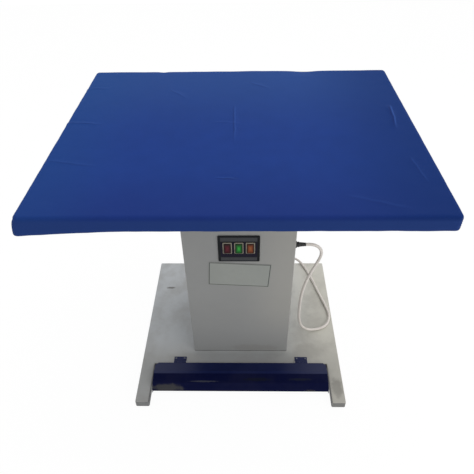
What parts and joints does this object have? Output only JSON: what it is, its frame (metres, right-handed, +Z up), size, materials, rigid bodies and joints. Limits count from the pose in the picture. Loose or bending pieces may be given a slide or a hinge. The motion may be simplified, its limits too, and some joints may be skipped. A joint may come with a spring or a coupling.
{
  "type": "vacuum ironing table",
  "caption": "Padded suction ironing table on a sheet steel pedestal, with a blower inside, rocker switches, a foot pedal hinged in the base plate and a power cord.",
  "frame": {"origin": "on the floor under the middle of the table top", "axes": "+X to the right of the user, +Y away from the user, +Z up; the foot pedal and the switches are on the -Y side"},
  "size_m": [1.02, 0.8712, 0.86],
  "materials": {
    "plate_paint": "semi-gloss pale grey paint",
    "cabinet_paint": "semi-gloss grey paint",
    "navy_paint": "semi-gloss navy paint",
    "blue_fabric": "woven royal blue cotton",
    "felt": "needled felt",
    "foam": "open-cell foam",
    "zinc": "zinc plated",
    "steel": "bright steel",
    "aluminium": "cast, bare",
    "black_plastic": "satin black",
    "panel_black": "satin black",
    "beige_plastic": "satin beige",
    "red_lens": "gloss red, lit type",
    "green_lens": "gloss green, lit type",
    "amber_lens": "gloss amber, lit type",
    "label": "bare printed film",
    "rubber": "matt black",
    "white_cord": "off-white sheath",
    "brass": "bright"
  },
  "bodies": {
    "frame": {"fabric_cover": "blue_fabric", "hem_cord": "white_cord", "felt_layer": "felt", "foam_pad": "foam", "perforated_sheet": "zinc", "suction_tray": "zinc", "support_grid": "zinc", "board_heater": "steel", "top_bearer_front": "cabinet_paint", "top_bearer_back": "cabinet_paint", "pedestal_body": "cabinet_paint", "back_cover": "cabinet_paint", "cover_screw_left": "zinc", "cover_screw_right": "zinc", "base_plate": "plate_paint", "floor_strip_left": "rubber", "floor_strip_right": "rubber", "base_bolt_left_front": "zinc", "base_bolt_left_back": "zinc", "base_bolt_right_front": "zinc", "base_bolt_right_back": "zinc", "hinge_leaf_left": "navy_paint", "hinge_leaf_right": "navy_paint", "hinge_pin_left": "steel", "hinge_pin_right": "steel", "hinge_screw_left_outer": "zinc", "hinge_screw_left_inner": "zinc", "hinge_screw_right_inner": "zinc", "hinge_screw_right_outer": "zinc", "pedal_bracket": "zinc", "pedal_spring_left": "steel", "pedal_spring_right": "steel", "limit_switch": "black_plastic", "control_panel": "panel_black", "mains_switch_housing": "beige_plastic", "suction_switch_housing": "beige_plastic", "heater_switch_housing": "beige_plastic", "name_plate": "label", "motor_shelf": "cabinet_paint", "blower_housing": "cabinet_paint", "inlet_ring": "zinc", "motor_end_shield": "aluminium", "motor_stator": "aluminium", "motor_fan_cowl": "black_plastic", "suction_duct": "black_plastic", "cable_gland": "black_plastic", "gland_locknut": "black_plastic", "power_cord": "white_cord", "cord_coil": "white_cord", "plug_body": "white_cord", "plug_pins": "brass"},
    "pedal": {"foot_pedal": "navy_paint"},
    "switch_lever_arm": {"switch_lever": "steel"},
    "switch_plunger_pin": {"switch_plunger": "beige_plastic"},
    "rotor": {"impeller": "aluminium", "impeller_nut": "zinc", "motor_shaft": "steel"},
    "mains_button": {"mains_rocker": "red_lens"},
    "suction_button": {"suction_rocker": "green_lens"},
    "heater_button": {"heater_rocker": "amber_lens"}
  },
  "joints": [
    {"name": "pedal_hinge", "type": "hinge", "parent": "frame", "child": "pedal", "pos_m": [0, -0.232, 0.0323], "axis": [1, 0, 0], "range_deg": [0, 6], "stiffness_Nm_per_rad": 13.9, "springref_deg": -6.88, "deforming": ["pedal_spring_left", "pedal_spring_right"]},
    {"name": "switch_lever_pivot", "type": "hinge", "parent": "frame", "child": "switch_lever_arm", "pos_m": [0.08, -0.2485, 0.0248], "axis": [1, 0, 0], "range_deg": [0, 9.3]},
    {"name": "switch_plunger_slide", "type": "slide", "parent": "frame", "child": "switch_plunger_pin", "axis": [0, 0, -1], "range_m": [0, 0.00132]},
    {"name": "impeller_spin", "type": "hinge", "parent": "frame", "child": "rotor", "pos_m": [0, 0, 0.3743], "axis": [0, 0, 1], "continuous": true},
    {"name": "mains_rocker_pivot", "type": "hinge", "parent": "frame", "child": "mains_button", "pos_m": [-0.035, -0.1814, 0.5545], "axis": [1, 0, 0], "range_deg": [0, 16]},
    {"name": "suction_rocker_pivot", "type": "hinge", "parent": "frame", "child": "suction_button", "pos_m": [0, -0.1814, 0.5545], "axis": [1, 0, 0], "range_deg": [0, 16]},
    {"name": "heater_rocker_pivot", "type": "hinge", "parent": "frame", "child": "heater_button", "pos_m": [0.035, -0.1814, 0.5545], "axis": [1, 0, 0], "range_deg": [0, 16]}
  ],
  "couplings": [
    {"joint": "switch_lever_pivot", "follows": "pedal_hinge", "ratio": 1.55},
    {"joint": "switch_plunger_slide", "follows": "pedal_hinge", "m_per_rad": 0.01254}
  ]
}
